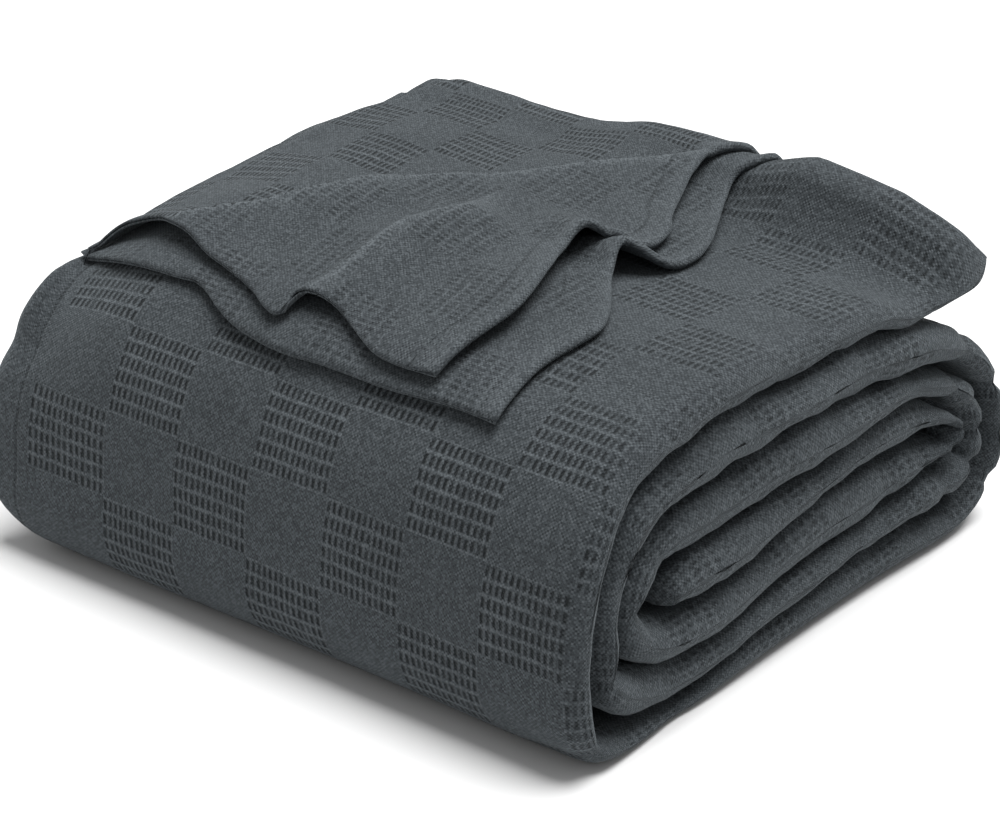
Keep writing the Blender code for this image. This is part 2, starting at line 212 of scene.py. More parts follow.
def spline(rows, steps):
    """Centripetal Catmull-Rom curve through the rows, spaced by their first two columns."""
    rows = [np.array(row, dtype=float) for row in rows]
    rows = [2 * rows[0] - rows[1]] + rows + [2 * rows[-1] - rows[-2]]
    points = []
    for p0, p1, p2, p3 in zip(rows, rows[1:], rows[2:], rows[3:]):
        k0 = 0.0
        k1 = k0 + math.sqrt(np.linalg.norm((p1 - p0)[:2]))
        k2 = k1 + math.sqrt(np.linalg.norm((p2 - p1)[:2]))
        k3 = k2 + math.sqrt(np.linalg.norm((p3 - p2)[:2]))
        for step in range(steps):
            k = k1 + (k2 - k1) * step / steps
            a1 = ((k1 - k) * p0 + (k - k0) * p1) / (k1 - k0)
            a2 = ((k2 - k) * p1 + (k - k1) * p2) / (k2 - k1)
            a3 = ((k3 - k) * p2 + (k - k2) * p3) / (k3 - k2)
            b1 = ((k2 - k) * a1 + (k - k0) * a2) / (k2 - k0)
            b2 = ((k3 - k) * a2 + (k - k1) * a3) / (k3 - k1)
            points.append(((k2 - k) * b1 + (k - k1) * b2) / (k2 - k1))
    points.append(rows[-2])
    return points


def sag(x, y, z):
    """How much lower the roll lies toward its left end."""
    depth = SAG + SAG_AT_FRONT * ramp(y, 0.0, -0.08)
    return depth * ramp(x, -0.10, -0.19) * ramp(z, 0.05, 0.14) * ramp(y, 0.13, 0.07)


def settle(x, y, z):
    """The even roll sags at the left, its crest rises and falls and its foot spreads."""
    z -= sag(x, y, z)
    pressed = FLAPS_PRESS * ramp(x, 0.105, 0.055) + FLAPS_PRESS_LEFT * ramp(x, 0.0, -0.06)
    pressed -= PRESSED_LESS * hump(x, -0.010, 0.045)
    z -= pressed * ramp(y, 0.10, 0.135) * ramp(z, *CREST_TOP)
    rise = float(np.interp(x, CREST_X, CREST_UP))
    z += rise * ramp(y, 0.06, 0.13) * ramp(z, *CREST_TOP)
    y -= FOOT_SPREAD * ramp(x, 0.13, -0.17) * ramp(y, -0.09, -0.16) * ramp(z, 0.07, 0.0)
    if z < ON_FLOOR:
        z = 0.0
    return Vector((x + STAND[0], y + STAND[1], z))


def unevenness(point, size, seed):
    """A soft wave of the cloth, between -1 and 1, with waves about as long as the size."""
    return noise.noise(Vector((point[0], point[1], point[2])) / size + Vector((seed, 7.3, 1.9)))


def spine_rows():
    """The spine close together: y, z, thickness, heading, place in the table."""
    steps = 24
    fine = np.array(spline([row[1:] for row in SPINE], steps))
    fine *= MM
    heading = np.unwrap(np.arctan2(np.gradient(fine[:, 1]), np.gradient(fine[:, 0])))
    kept = [0]
    for i in range(1, len(fine) - 1):
        step = SHOWN_STEP if i / steps > SHOWN_FROM else HIDDEN_STEP
        run = np.linalg.norm((fine[i] - fine[kept[-1]])[:2])
        filled = abs(fine[i][2] - fine[kept[-1]][2])
        turned = abs(heading[i] - heading[kept[-1]])
        if run > step or turned > TURN_STEP or filled > THICKNESS_STEP:
            kept.append(i)
    kept.append(len(fine) - 1)
    return [(*fine[i], heading[i], i / steps) for i in kept]


def end_tuck(x, z):
    """How far in an end lies at this height, as a part of the roll's full length."""
    foot = ramp(z, 0.045, 0.0) ** 2
    if x < 0.0:
        top = 0.045 * ramp(z, 0.10, 0.16) + 0.07 * ramp(z, 0.15, 0.17)
        return 0.941 - 0.116 * foot - top
    return 1.0 - 0.015 * foot - 0.02 * ramp(z, 0.13, 0.16)


def tip_shift(place, side):
    """How much further one turn sticks out at an end than the next."""
    return 0.003 * abs(math.sin(0.37 * place + side) + 0.5 * math.sin(1.05 * place))


RIGHT, LEFT = 1, -1

# Creases that cross a fold end: which end, place in the spine table, half width in places,
# depth in mm
END_CREASES = (
    (RIGHT, 9.0, 0.35, 1.6), (RIGHT, 14.5, 0.25, 1.2), (RIGHT, 22.0, 0.30, 1.8),
    (RIGHT, 23.6, 0.22, 1.6), (RIGHT, 9.9, 0.25, 1.2), (RIGHT, 11.4, 0.25, 1.4),
    (RIGHT, 32.1, 0.22, 1.8), (RIGHT, 33.2, 0.22, 2.4), (RIGHT, 34.3, 0.20, 1.8),
    (RIGHT, 35.4, 0.22, 2.6), (RIGHT, 36.8, 0.22, 1.8), (RIGHT, 45.3, 0.30, 2.0),
    (RIGHT, 47.2, 0.25, 1.3), (RIGHT, 60.5, 0.28, 2.2), (RIGHT, 62.3, 0.25, 2.0),
    (RIGHT, 63.8, 0.30, 2.4), (RIGHT, 65.6, 0.25, 1.8), (RIGHT, 77.2, 0.30, 1.6),
    (LEFT, 22.6, 0.30, 2.0), (LEFT, 34.5, 0.28, 2.0), (LEFT, 45.8, 0.30, 2.2),
    (LEFT, 61.5, 0.30, 2.2), (LEFT, 64.4, 0.26, 2.0), (LEFT, 82.0, 0.40, 1.6),
)

spine = spine_rows()
straight = HALF_LENGTH - END_ROUND
sections = []
for angle in END_ANGLES:
    a = math.radians(angle)
    sections.append((-straight - END_ROUND * math.sin(a), math.cos(a), angle / 90.0))
for i in range(MIDDLE_SECTIONS):
    sections.append((straight * 0.995 * (2.0 * i / (MIDDLE_SECTIONS - 1) - 1.0), 1.0, 0.0))
for angle in reversed(END_ANGLES):
    a = math.radians(angle)
    sections.append((straight + END_ROUND * math.sin(a), math.cos(a), angle / 90.0))

# How far round the roll each row lies, measured along the cloth's outer side
rim = [(y - t / 2 * math.sin(h), z + t / 2 * math.cos(h)) for y, z, t, h, place in spine]
rim_run = [0.0]
for (y0, z0), (y1, z1), row0, row1 in zip(rim, rim[1:], spine, spine[1:]):
    outer_step = math.hypot(y1 - y0, z1 - z0)
    middle_step = math.hypot(row1[0] - row0[0], row1[1] - row0[1])
    rim_run.append(rim_run[-1] + (outer_step if row0[4] > SHOWN_FROM else middle_step))
shown = [i for i, row in enumerate(spine) if row[4] > SHOWN_FROM]
first_line = min(
    shown, key=lambda i: math.hypot(rim[i][0] - FIRST_LINE[0], rim[i][1] - FIRST_LINE[1])
)


def wave_height(point, along, outside):
    """The soft waves of the cloth: long ones where it shows, shorter ones on the fold ends."""
    if outside:
        height = SHOWN_WAVE * unevenness(point, 0.055, 3.0)
        height += SHOWN_RIPPLE * unevenness(point, 0.021, 11.0)
    else:
        height = HIDDEN_WAVE * unevenness(point, 0.03, 5.0)
        lobe = ramp(abs(along), 0.16, 0.195)
        height += LOBE_WAVE * lobe * unevenness(point, 0.016, 9.0)
    return height * ramp(point[2], 0.002, 0.02)


def roll_relief(along, place, toward_front):
    """How strongly the waffle squares stand out: most on the front face, least at the ends."""
    strength = 0.62 + 0.38 * toward_front - 0.20 * ramp(place, *CREST_ROWS)
    return strength * (1.0 - 0.50 * ramp(abs(along), 0.184, 0.199))


points, weave, relief, faces = [], [], [], []
for along, fullness, turned in sections:
    side = math.copysign(1.0, along)
    near_end = (abs(along) / HALF_LENGTH) ** 8
    past_straight = side * (turned * END_ARC - (abs(along) - straight)) if turned else 0.0
    outer, inner, outer_weave, inner_weave, outer_relief, inner_relief = [], [], [], [], [], []
    for i, (y, z, thickness, heading, place) in enumerate(spine):
        x = along + side * tip_shift(place, side) * near_end
        crease = sum(
            depth * hump(place, at, width) for end, at, width, depth in END_CREASES if end == side
        )
        crease *= CREASE_DEPTH * MM * ramp(abs(along), 0.155, 0.198)
        half = max((thickness / 2.0 - crease) * fullness, 0.0002)
        for face, row, weave_row, relief_row in (
            (1.0, outer, outer_weave, outer_relief),
            (-1.0, inner, inner_weave, inner_relief),
        ):
            normal = (-math.sin(heading) * face, math.cos(heading) * face)
            point_y, point_z = y + half * normal[0], z + half * normal[1]
            tucked = (x - side * crease) * end_tuck(x, point_z)
            outside = place > SHOWN_FROM and face > 0.0
            lift = wave_height((x, point_y, point_z), along, outside)
            point = settle(tucked, point_y + lift * normal[0], point_z + lift * normal[1])
            brow = BROW_LIFT * ramp(point.x, -0.174, -0.190) * ramp(point.y, -0.06, -0.10)
            point.z += brow * ramp(point.z, 0.085, 0.125)
            row.append(point)
            across = tucked + past_straight
            if across < SQUEEZED_FROM:
                across = SQUEEZED_FROM + (across - SQUEEZED_FROM) * SQUEEZED
            run = rim_run[i] - rim_run[first_line]
            if outside:
                run -= sag(tucked, point_y, point_z) * abs(math.sin(heading))
            elif face < 0.0:        # the inner side starts from round the core's edge
                run -= spine[0][2]
            from_hem = (across - SIDE_HEM) / MM if outside else FAR_FROM_HEM
            weave_row.append(((across - FIRST_COLUMN) / SQUARE, run / SQUARE_ROUND, from_hem))
            toward_front = ramp(-normal[0], 0.2, 0.8) if outside and place < FRONT_TO else 0.0
            relief_row.append(roll_relief(along, place, toward_front))
    points += outer + inner[::-1]
    weave += outer_weave + inner_weave[::-1]
    relief += outer_relief + inner_relief[::-1]

count = 2 * len(spine)
for j in range(len(sections) - 1):
    for i in range(count):
        k = (i + 1) % count
        faces.append((j * count + i, (j + 1) * count + i, (j + 1) * count + k, j * count + k))
last = (len(sections) - 1) * count
for base in (0, last):
    for i in range(len(spine) - 1):
        quad = (base + i, base + i + 1, base + count - 2 - i, base + count - 1 - i)
        faces.append(quad if base == 0 else quad[::-1])


def cloth_piece(name, points, faces, weave, relief, domain):
    """A mesh that carries its place in the weave (check column, check row, mm to a hem line)
    and how strongly its waffle squares stand out there."""
    mesh = bpy.data.meshes.new(name)
    mesh.from_pydata([tuple(p) for p in points], [], faces)
    mesh.shade_smooth()
    attribute = mesh.attributes.new("weave", "FLOAT_VECTOR", domain)
    attribute.data.foreach_set("vector", np.array(weave, dtype=np.float32).ravel())
    attribute = mesh.attributes.new("relief", "FLOAT", domain)
    attribute.data.foreach_set("value", np.array(relief, dtype=np.float32))
    piece = bpy.data.objects.new(name, mesh)
    bpy.context.scene.collection.objects.link(piece)
    return piece


SLOT_ROWS = 6.0             # in a waffle square
SLOTS_IN_ROW = 13.0
WANDER = 0.05               # of the rows, in squares
ACROSS_TUG = 0.016          # of single threads, in squares
ROUND_TUG = 0.022
THREADS_PER_MM = 0.92
BASKET_TURN = 2.9           # of the basket weave's waves, in radians per mm
STITCH_TURN = 2.1


def cotton(name, shades):
    """Slate cotton: plain ground, and squares of small slots in rows between raised cords."""
    material = bpy.data.materials.new(name)
    material.use_nodes = True
    tree = material.node_tree
    shader = tree.nodes["Principled BSDF"]

    def put(socket, value):
        if isinstance(value, bpy.types.NodeSocket):
            tree.links.new(value, socket)
        else:
            socket.default_value = value

    def calc(operation, a, b=0.0, c=0.0):
        node = tree.nodes.new("ShaderNodeMath")
        node.operation = operation
        for socket, value in zip(node.inputs, (a, b, c)):
            put(socket, value)
        return node.outputs[0]

    def soft_step(value, low, high):
        node = tree.nodes.new("ShaderNodeMapRange")
        node.interpolation_type = "SMOOTHSTEP"
        put(node.inputs["Value"], value)
        put(node.inputs["From Min"], low)
        put(node.inputs["From Max"], high)
        return node.outputs["Result"]

    def vector(x, y, z=0.0):
        node = tree.nodes.new("ShaderNodeCombineXYZ")
        for socket, value in zip(node.inputs, (x, y, z)):
            put(socket, value)
        return node.outputs[0]

    def cloud(place, scale, detail=2.0, roughness=0.5):
        node = tree.nodes.new("ShaderNodeTexNoise")
        put(node.inputs["Vector"], place)
        put(node.inputs["Scale"], scale)
        put(node.inputs["Detail"], detail)
        put(node.inputs["Roughness"], roughness)
        return node.outputs[0]

    def speck(place):
        node = tree.nodes.new("ShaderNodeTexWhiteNoise")
        put(node.inputs["Vector"], place)
        return node.outputs["Value"]

    attribute = tree.nodes.new("ShaderNodeAttribute")
    attribute.attribute_name = "weave"
    split = tree.nodes.new("ShaderNodeSeparateXYZ")
    put(split.inputs[0], attribute.outputs["Vector"])
    column, row, from_hem = split.outputs
    where = tree.nodes.new("ShaderNodeTexCoord").outputs["Object"]

    relief = tree.nodes.new("ShaderNodeAttribute")
    relief.attribute_name = "relief"
    # painted highlight where light catches sharp creases, ridges, round folds and edges: only the
    # flaps carry it
    painted_highlight = tree.nodes.new("ShaderNodeAttribute")
    painted_highlight.attribute_name = "painted_highlight"

    # the hand of the cloth pulls its rows a little out of line, and its threads are uneven
    wander = calc("SUBTRACT", cloud(where, 26.0), 0.5)
    drift = calc("SUBTRACT", cloud(where, 21.0, 1.0), 0.5)
    across_mm = calc("MULTIPLY", calc("MULTIPLY_ADD", wander, WANDER, column), SQUARE / MM)
    round_mm = calc("MULTIPLY", calc("MULTIPLY_ADD", drift, WANDER, row), SQUARE_ROUND / MM)
    grain = vector(across_mm, round_mm)
    fray = calc("SUBTRACT", cloud(grain, 0.42, 2.0, 0.6), 0.5)
    tug = calc("SUBTRACT", cloud(vector(round_mm, across_mm), 0.36, 2.0, 0.6), 0.5)
    column = calc("MULTIPLY_ADD", fray, ACROSS_TUG, calc("DIVIDE", across_mm, SQUARE / MM))
    row = calc("MULTIPLY_ADD", tug, ROUND_TUG, calc("DIVIDE", round_mm, SQUARE_ROUND / MM))

    # where a waffle square lies
    cell = calc("ADD", calc("FLOOR", column), calc("FLOOR", row))
    odd = calc("FLOORED_MODULO", cell, 2.0)
    square = calc("MULTIPLY", calc("LESS_THAN", odd, 0.5), calc("GREATER_THAN", column, 0.0))
    square = calc("MULTIPLY", square, relief.outputs["Fac"])

    # the rows of slots in it, with cords between the rows and ribs between the slots
    row_place = calc("MULTIPLY", calc("FRACT", row), SLOT_ROWS)
    slot_place = calc("MULTIPLY", calc("FRACT", column), SLOTS_IN_ROW)
    off_row = calc("ABSOLUTE", calc("SUBTRACT", calc("FRACT", row_place), 0.5))
    off_slot = calc("ABSOLUTE", calc("SUBTRACT", calc("FRACT", slot_place), 0.5))
    one_slot = vector(calc("FLOOR", slot_place), calc("FLOOR", row_place), cell)
    slot_depth = calc("MULTIPLY_ADD", speck(one_slot), 0.6, 0.4)
    long_way = calc("SUBTRACT", 1.0, soft_step(off_row, 0.20, 0.40))
    short_way = calc("SUBTRACT", 1.0, soft_step(off_slot, 0.10, 0.36))
    slot = calc("MULTIPLY", calc("MULTIPLY", long_way, short_way), square)
    slot = calc("MULTIPLY", slot, slot_depth)
    cord = calc("MULTIPLY", soft_step(off_row, 0.34, 0.46), square)
    rib = calc("MULTIPLY", soft_step(off_slot, 0.32, 0.46), square)

    # the basket weave of the ground, one light and dark thread crossing at a time
    over = calc("SINE", calc("MULTIPLY", across_mm, BASKET_TURN))
    under = calc("SINE", calc("MULTIPLY", round_mm, BASKET_TURN))
    basket = calc("MULTIPLY", calc("MULTIPLY", over, under), calc("MULTIPLY_ADD", tug, 1.6, 0.8))
    thread = vector(
        calc("FLOOR", calc("MULTIPLY", across_mm, THREADS_PER_MM)),
        calc("FLOOR", calc("MULTIPLY", round_mm, THREADS_PER_MM)),
    )
    thread_shade = calc("SUBTRACT", speck(thread), 0.5)
    fuzz = calc("SUBTRACT", cloud(grain, 1.1, 3.0, 0.65), 0.5)
    mottle = calc("SUBTRACT", cloud(where, 14.0, 3.0), 0.5)

    # hem lines: a groove with stitches in it, bumped in and darkened with painted shade
    near_line = calc("SUBTRACT", 1.0, soft_step(calc("ABSOLUTE", from_hem), 0.3, 1.6))
    stitch_gap = calc("SINE", calc("MULTIPLY", round_mm, STITCH_TURN))
    groove = calc("MULTIPLY", near_line, calc("MULTIPLY_ADD", stitch_gap, 0.25, 0.75))

    # relief in mm
    height = 0.0
    for part, rise in (
        (basket, 0.12), (thread_shade, 0.20), (fuzz, 0.30), (slot, -0.85), (cord, 0.32),
        (rib, 0.20), (groove, -0.55),
    ):
        height = calc("MULTIPLY_ADD", part, rise, height)
    bump = tree.nodes.new("ShaderNodeBump")
    put(bump.inputs["Strength"], 1.0)
    put(bump.inputs["Distance"], MM)
    put(bump.inputs["Height"], height)
    put(shader.inputs["Normal"], bump.outputs["Normal"])

    # how light the cloth is drawn, around the middle shade: thread, fuzz and mottle vary at random,
    # while the slots and hem grooves carry painted shade and the cords, ribs and creases painted
    # highlight
    tone = 0.5
    for part, lighter in (
        (basket, 0.20), (thread_shade, 0.46), (fuzz, 0.42), (mottle, 0.16), (slot, -0.98),
        # the last part is painted highlight on creases and fold edges
        (cord, 0.20), (rib, 0.12), (groove, -0.25), (painted_highlight.outputs["Fac"], 0.27),
    ):
        tone = calc("MULTIPLY_ADD", part, lighter, tone)
    shade = tree.nodes.new("ShaderNodeValToRGB")
    put(shade.inputs["Fac"], tone)
    shade.color_ramp.elements[0].color = (*shades[0], 1.0)
    shade.color_ramp.elements[1].color = (*shades[2], 1.0)
    shade.color_ramp.elements.new(0.5).color = (*shades[1], 1.0)
    put(shader.inputs["Base Color"], shade.outputs["Color"])
    shader.inputs["Roughness"].default_value = 0.92
    shader.inputs["Specular IOR Level"].default_value = 0.18
    shader.inputs["Sheen Weight"].default_value = 0.16
    shader.inputs["Sheen Roughness"].default_value = 0.55
    shader.inputs["Sheen Tint"].default_value = (0.55, 0.62, 0.66, 1.0)
    return material


# The cloth's shades: darkest where painted shade fills a slot, of the ground, and palest where fuzz
# and painted highlight on cords and creases lie
SLATE = ((0.0065, 0.008, 0.009), (0.036, 0.042, 0.0465), (0.098, 0.111, 0.120))
roll = cloth_piece("rolled_blanket", points, faces, weave, relief, "POINT")
roll.data.materials.append(cotton("slate_cotton_roll", SLATE))
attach(roll, "root")
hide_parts("blanket")
roll_top = BVHTree.FromPolygons([tuple(p) for p in points], faces)

# ---------------------------------------------------------------------------------------
# The lower flap
# The strip's last stretch comes over the rear crest and lies on the top, folded double, with
# its fold along the right and its open hem at the front left. The right side lifts in one
# arch over a hollow, and a stitched hem line runs beside it.
# ---------------------------------------------------------------------------------------

LOWER_HEM = (
    (-180, -123, 1.5), (-160, -128, 4), (-137, -134, 5.5), (-111, -138, 5.5), (-94, -138, 5.5),
    (-81, -137, 5.5), (-71, -140, 5.5), (-58, -146, 6), (-43, -151, 6.5), (-23, -154, 6.5),
    (-4, -155, 6.5), (19, -154, 6.5), (64, -154, 6.5), (97, -152, 6.5), (126, -152, 6.5),
)
LOWER_RIGHT = (
    (126, -152, 6.5), (125, -141, 5), (124, -129, 4.5), (123, -114, 4.5), (124, -99, 4.5),
    (126, -86, 4.5), (126, -72, 4.5), (117, -54, 5), (103, -35, 5.5), (89, -16, 6),
    (83, -2, 6), (85, 7, 5.5), (91, 11, 5), (98, 21, 4), (100, 40, 3.5), (93, 62, 3.5),
    (77, 91, 3.5), (65, 113, 4), (60, 127, 4), (60, 137, 3.5), (63, 144, 3), (67, 151, 2.5),
    (70, 161, 2.2), (70, 184, 2),
)
LOWER_LEFT = (
    (-180, -123, 1.5), (-176, -90, 3), (-176, -45, 5), (-180, 0, 5), (-182, 60, 5),
    (-179, 105, 3), (-172, 140, 4), (-168, 165, 3), (-168, 184, 2.5),
)
# Soft ridges, in mm: x and y of the start, x and y of the end, width to the left and to the
# right of it, height at each end
LOWER_RIDGES = (
    (-90, -130, -60, 20, 24, 24, 2, 0),
    (101, 0, 30, 10, 13, 13, 18, 0),
)
CREST_FROM = 0.115          # from here on a flap follows the crest's curve over to the rear
HOLLOW_FROM = 0.030         # and between here and the crest it is pulled tight over a hollow
CLEAR_TO = 0.128            # up to here it is kept clear of the cloth beneath
OUTER_SKIN = 0.0014         # from the middle of a doubled layer to its outside
INNER_SKIN = 0.0003         # and to its inside
FOLD_BULGE = 0.75           # the round fold is thicker by this part
FOLD_REACH = 0.0055         # over this width
FOLD_ARC = 0.0075           # length of cloth round the fold
FOLD_HIGHLIGHT = 0.010           # width of the painted highlight beside the round fold, where light catches it
SKIN_WAVE = 0.00035
TILT_REACH = 0.006          # the crest's slope is taken over this much to each side
FRONT_RELIEF = 0.32         # of the squares where the cloth's under side shows
BACK_RELIEF = 0.9           # and where its upper side shows
EDGE_RELIEF = 0.15          # close to the fold, of either


def edge_curve(table):
    """A flap's edge as a smooth line through its tabled points, from 0 to 1 along it."""
    line = np.array(spline(table, 8)) * MM
    run = np.concatenate(([0.0], np.cumsum(np.linalg.norm(np.diff(line, axis=0), axis=1))))
    run /= run[-1]
    return lambda t: np.array([np.interp(t, run, line[:, axis]) for axis in range(3)])


def top_line():
    """The outer side of the roll's last turn, from the front brow over the crest."""
    lowest = min(range(len(rim)), key=lambda i: rim[i][0])
    front = [point for point in rim[lowest:] if point[0] < CREST_FROM]
    behind = [point for point in rim[lowest:] if point[0] >= CREST_FROM]
    y, z, thickness, heading, place = spine[-1]
    behind.append((y + thickness / 2 * math.sin(heading), z - thickness / 2 * math.cos(heading)))
    under = [
        (y + t / 2 * math.sin(h), z - t / 2 * math.cos(h)) for y, z, t, h, place in spine[-14:]
    ]
    return front, behind + under[::-1]


front_line, rear_line = top_line()
rear_run = [CREST_FROM]
for (y0, z0), (y1, z1) in zip(rear_line, rear_line[1:]):
    rear_run.append(rear_run[-1] + math.hypot(y1 - y0, z1 - z0))
front_y, front_z = np.array(front_line).T
rear_y, rear_z = np.array(rear_line).T
rear_tilt = [
    math.atan2(
        *(
            np.interp(run + TILT_REACH, rear_run, side)
            - np.interp(run - TILT_REACH, rear_run, side)
            for side in (rear_z, rear_y)
        )
    )
    * ramp(run, CREST_FROM + 0.02, CREST_FROM + 0.045)
    for run in rear_run
]


def on_top(x, run, rise):
    """A point that far from the front along the roll's top, and that high over it."""
    if run < CREST_FROM:
        y, z, tilt = run, float(np.interp(run, front_y, front_z)), 0.0
    else:
        y, z, tilt = (float(np.interp(run, rear_run, side)) for side in (rear_y, rear_z, rear_tilt))
    return settle(x, y - rise * math.sin(tilt), z + rise * math.cos(tilt))


crest_at = int(np.argmax(rear_z))
hollow_ends = np.array([
    (x * 0.01, on_top(x * 0.01, HOLLOW_FROM, 0.0).z, on_top(x * 0.01, rear_run[crest_at], 0.0).z)
    for x in range(-20, 21)
])


def bridge(x, run):
    """How far the hollow in front of the crest lies below a straight line across it."""
    if run < HOLLOW_FROM or run > rear_run[crest_at]:
        return 0.0
    ground = on_top(x, run, 0.0)
    share = (ground.y - HOLLOW_FROM) / (rear_y[crest_at] - HOLLOW_FROM)
    front, rear = (np.interp(x, hollow_ends[:, 0], hollow_ends[:, k]) for k in (1, 2))
    return max(0.0, float(front + (rear - front) * share) - ground.z)


def to_line(x, y, line):
    """The nearest gap from a point to a line through x, y in mm, how far along, and its side."""
    x0, y0, x1, y1 = (value * MM for value in line)
    run_x, run_y = x1 - x0, y1 - y0
    share = ((x - x0) * run_x + (y - y0) * run_y) / (run_x * run_x + run_y * run_y)
    share = min(max(share, 0.0), 1.0)
    off_x, off_y = x - x0 - share * run_x, y - y0 - share * run_y
    return math.hypot(off_x, off_y), share, off_y * run_x - off_x * run_y


def ridge_height(ridges, x, y):
    """The highest of the ridges and the deepest of the dips at this place, taken together."""
    highest, lowest = 0.0, 0.0
    for x0, y0, x1, y1, left, right, rise0, rise1 in ridges:
        gap, share, side = to_line(x, y, (x0, y0, x1, y1))
        off = gap / ((left if side > 0.0 else right) * MM)
        part = (rise0 + (rise1 - rise0) * share) * MM * math.exp(-off * off)
        highest, lowest = max(highest, part), min(lowest, part)
    return highest + lowest


def flap_surface(tables, columns, rows, shape, bed, gap, wave_reach, middle_tight, tight):
    """The middle of a doubled flap as a grid of points, from the hem back over the crest. The
    hem's waves die out over the wave reach, and the cloth is pulled so tight over the hollow in
    its middle and, of that, along its right side."""
    hem_table, left_table, right_table = tables
    rear_middle = tuple(np.add(left_table[-1], right_table[-1]) / 2)
    rear_table = (left_table[-1], rear_middle, right_table[-1])
    hem, rear, left, right = map(edge_curve, (hem_table, rear_table, left_table, right_table))
    grid, flat = [], []
    for j in range(rows):
        t = j / (rows - 1)
        line, flat_line = [], []
        for i in range(columns):
            s = i / (columns - 1)
            corners = (1 - s) * (1 - t) * hem(0) + s * (1 - t) * hem(1)
            corners += (1 - s) * t * rear(0) + s * t * rear(1)
            sides = (1 - s) * left(t) + s * right(t)
            x, run, rise = (1 - t) * hem(s) + t * rear(s) + sides - corners
            wave = hem(s)[2] - (1 - s) * hem(0)[2] - s * hem(1)[2]
            rise = sides[2] + wave * math.exp(-((t / wave_reach) ** 2))
            point = on_top(x, run, rise + shape(x, run, s, t))
            point.z += (1 - (1 - tight) * ramp(s, 0.75, 1.0)) * middle_tight * bridge(x, run)
            if run < CLEAR_TO:
                beneath = bed.ray_cast(point + Vector((0, 0, 0.05)), Vector((0, 0, -1)))[0]
                if beneath:
                    point.z = max(point.z, beneath.z + gap)
            line.append(point)
            flat_line.append((x, run))
        grid.append(line)
        flat.append(flat_line)
    return grid, flat


def doubled(name, grid, flat, weave_at, highlight_at, hem_line):
    """Two layers of cloth joined by a round fold along the right, open at the other sides. A
    highlight is painted on its creases, round fold and edges, where light catches them, and kept in
    an attribute."""
    rows, columns = len(grid), len(grid[0])
    place = np.array([[tuple(p) for p in line] for line in grid])
    along = np.gradient(place, axis=0)
    across = np.gradient(place, axis=1)
    normal = np.cross(across, along)
    normal /= np.linalg.norm(normal, axis=2)[:, :, None]
    outward = across[:, -1] / np.linalg.norm(across[:, -1], axis=1)[:, None]
    from_fold = np.zeros((rows, columns))
    gaps = np.linalg.norm(np.diff(place, axis=1), axis=2)
    from_fold[:, :-1] = np.cumsum(gaps[:, ::-1], axis=1)[:, ::-1]
    swell = 1.0 + FOLD_BULGE * np.exp(-((from_fold / FOLD_REACH) ** 2))
    profile = [(i, 0.0) for i in range(columns)]
    profile += [(columns - 1, angle) for angle in (25, 50, 75, 90, 105, 130, 155)]
    profile += [(i, 180.0) for i in range(columns - 1, -1, -3)]
    points = []
    for skin, radius in ((0, OUTER_SKIN), (1, INNER_SKIN)):
        for j in range(rows):
            for i, degrees in profile:
                a = math.radians(degrees)
                reach = radius * (swell[j, i] if skin == 0 else 1.0)
                if skin == 1 and swell[j, i] > 1.0:
                    reach = OUTER_SKIN * swell[j, i] - (OUTER_SKIN - INNER_SKIN)
                point = place[j, i] + reach * math.cos(a) * normal[j, i]
                point = point + reach * math.sin(a) * outward[j]
                wave = SKIN_WAVE * unevenness(place[j, i], 0.012, 21.0)
                points.append(point + wave * normal[j, i])
    width = len(profile)
    faces, corners, relief, painted_highlight = [], [], [], []
    skin_size = rows * width
    creases = [[highlight_at(x, y) for x, y in line] for line in flat]

    def weave_corner(j, k, front_zone):
        i, degrees = profile[k]
        x, y = flat[j][i]
        column, row = weave_at(x + FOLD_ARC * degrees / 180.0, y, front_zone)
        line = abs(from_fold[j, i] - hem_line) / MM if degrees < 90.0 else FAR_FROM_HEM
        return (column, row, line)

    def highlight_corner(j, k):
        i, degrees = profile[k]
        if degrees > 90.0:
            return 0.0
        # painted highlight: the crease's own, and more close to the round fold
        return min(1.0, creases[j][i] + 0.5 * math.exp(-from_fold[j, i] / FOLD_HIGHLIGHT))

    for j in range(rows - 1):
        for k in range(width - 1):
            i = profile[k][0]
            middle = np.add(flat[j][i], flat[j + 1][i]) / 2
            zone = weave_at(middle[0], middle[1], None)
            ring = [(j, k), (j, k + 1), (j + 1, k + 1), (j + 1, k)]
            outer = [a * width + b for a, b in ring]
            faces.append(outer)
            corners += [weave_corner(a, b, zone) for a, b in ring]
            faces.append([skin_size + n for n in outer[::-1]])
            corners += [weave_corner(a, b, zone) for a, b in ring[::-1]]
            inland = 1.0 if 0 < i < columns - 4 else EDGE_RELIEF
            relief += [inland * (FRONT_RELIEF if zone else BACK_RELIEF)] * 8
            painted_highlight += [highlight_corner(a, b) for a, b in ring]
            painted_highlight += [0.0] * 4
    rim_pairs = [(j * width, (j + 1) * width) for j in range(rows - 1)]
    rim_pairs += [((j + 1) * width + width - 1, j * width + width - 1) for j in range(rows - 1)]
    rim_pairs += [(k + 1, k) for k in range(width - 1)]
    top_row = (rows - 1) * width
    rim_pairs += [(top_row + k, top_row + k + 1) for k in range(width - 1)]
    for a, b in rim_pairs:
        faces.append([a, b, skin_size + b, skin_size + a])
        for n in (a, b, b, a):
            corners.append(weave_corner(n % skin_size // width, n % width, False))
            relief.append(0.2)
            # a faint painted highlight on the flap's edges
            painted_highlight.append(0.15)
    piece = cloth_piece(name, points, faces, corners, relief, "CORNER")
    attribute = piece.data.attributes.new("painted_highlight", "FLOAT", "CORNER")
    attribute.data.foreach_set("value", np.array(painted_highlight, dtype=np.float32))
    return piece


